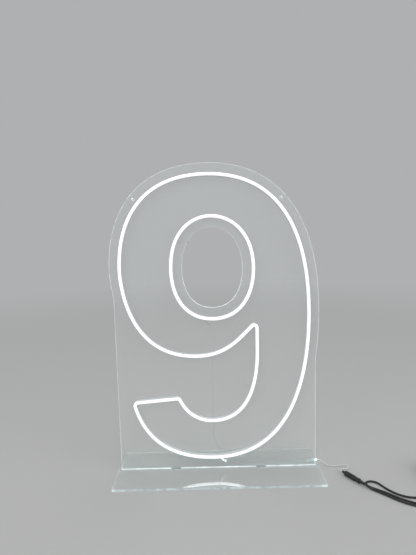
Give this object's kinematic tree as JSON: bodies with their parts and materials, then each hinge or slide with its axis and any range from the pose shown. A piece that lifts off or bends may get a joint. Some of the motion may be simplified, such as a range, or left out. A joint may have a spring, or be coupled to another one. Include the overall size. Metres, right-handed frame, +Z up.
{
  "type": "light-up number",
  "caption": "Light-up number nine: glowing tube outlines on a clear panel that slots into a clear base, with an inline plug, a coiled cord and a wall adapter.",
  "frame": {"origin": "middle of the base plate's underside", "axes": "+X to the right as the number is read, +Y away from the reader, +Z up"},
  "size_m": [0.6453, 0.2189, 0.6078],
  "materials": {
    "clear_acrylic": "polished clear acrylic sheet with laser-cut edges",
    "lit_silicone": "milky silicone, lit cool white from inside",
    "led_strip": "white flexible circuit with LED chips",
    "clear_silicone": "cloudy clear silicone",
    "clear_lead": "clear PVC over tinned wire",
    "black_rubber": "satin black",
    "black_plastic": "fine satin",
    "nickel": "bright nickel plate"
  },
  "bodies": {
    "stand": {"base_plate": "clear_acrylic", "supply_lead": "clear_lead", "dc_jack": "black_rubber", "dc_jack_pin": "nickel"},
    "number": {"back_panel": "clear_acrylic", "outline_sleeve": "lit_silicone", "outline_led_strip": "led_strip", "outline_start_plug": "clear_silicone", "outline_end_plug": "clear_silicone", "outline_lead": "clear_lead", "counter_sleeve": "lit_silicone", "counter_led_strip": "led_strip", "counter_start_plug": "clear_silicone", "counter_end_plug": "clear_silicone", "counter_lead": "clear_lead", "lead_splice": "clear_silicone", "splice_clip": "clear_acrylic"},
    "adapter": {"dc_plug": "black_rubber", "dc_plug_barrel": "nickel", "adapter_cord": "black_rubber", "cord_coil": "black_rubber", "cord_tie": "black_plastic", "cord_tail": "black_rubber", "adapter_relief": "black_rubber", "adapter_case": "black_plastic", "adapter_cover": "black_plastic", "adapter_blade_left": "nickel", "adapter_blade_right": "nickel"}
  },
  "joints": [
    {"name": "number_lift", "type": "slide", "parent": "stand", "child": "number", "axis": [0, 0, 1], "range_m": [0, 0.012]},
    {"name": "plug_pull", "type": "slide", "parent": "stand", "child": "adapter", "axis": [0.549, -0.8358, 0], "range_m": [0, 0.012]}
  ]
}
